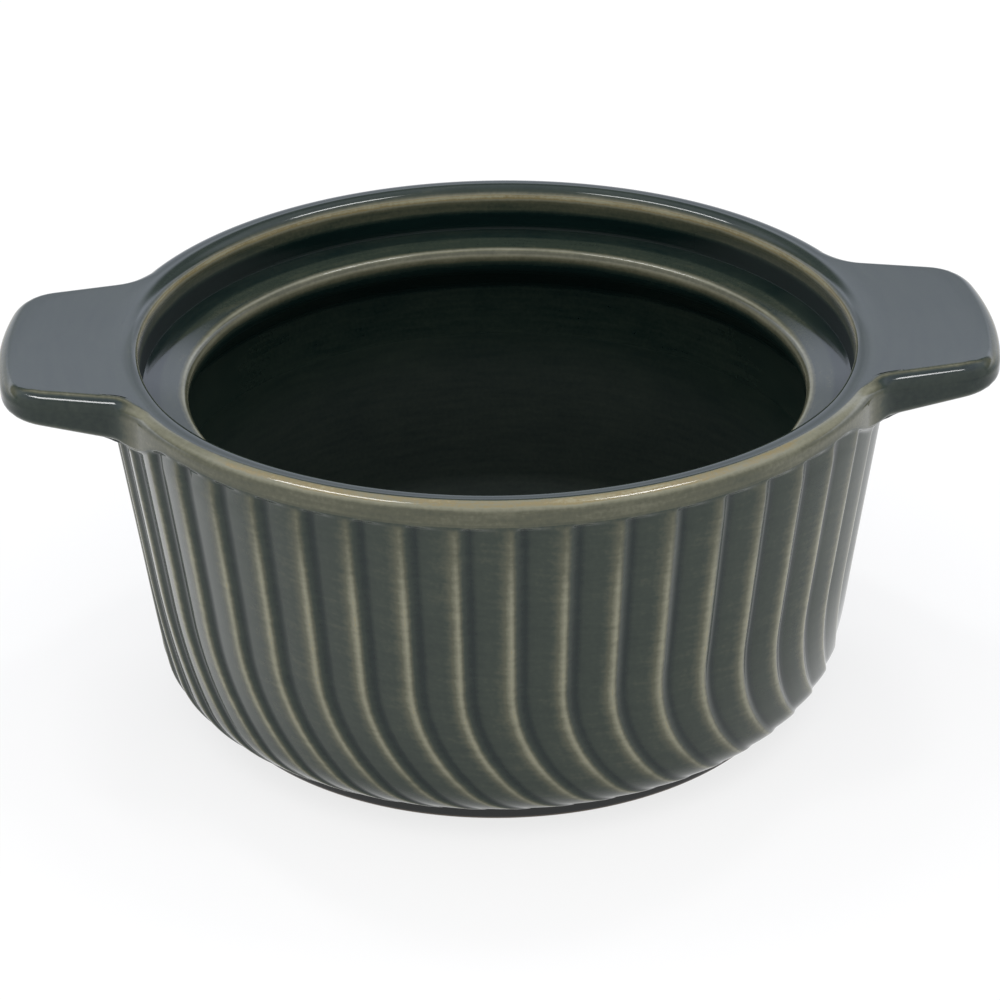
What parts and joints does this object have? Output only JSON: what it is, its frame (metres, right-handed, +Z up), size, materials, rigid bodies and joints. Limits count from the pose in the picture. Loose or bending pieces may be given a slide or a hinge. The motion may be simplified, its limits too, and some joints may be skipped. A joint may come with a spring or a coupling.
{
  "type": "mini casserole dish",
  "caption": "Small round stoneware casserole with swirled flutes, a stepped rim that seats a lid, flat tab handles and a low foot.",
  "frame": {"origin": "centre of the foot ring on the plane that the dish stands on", "axes": "+Z up along the axis of the bowl, +X through the right handle"},
  "size_m": [0.159, 0.125, 0.0613],
  "materials": {
    "glaze": "glossy dark grey-green glaze that breaks to tan on edges",
    "foot": "thin dark glaze wiped back to the clay where it stands"
  },
  "bodies": {
    "root": {"bowl": "glaze", "rim_collar": "glaze", "handle_left": "glaze", "handle_right": "glaze", "foot_ring": "foot"}
  },
  "joints": []
}
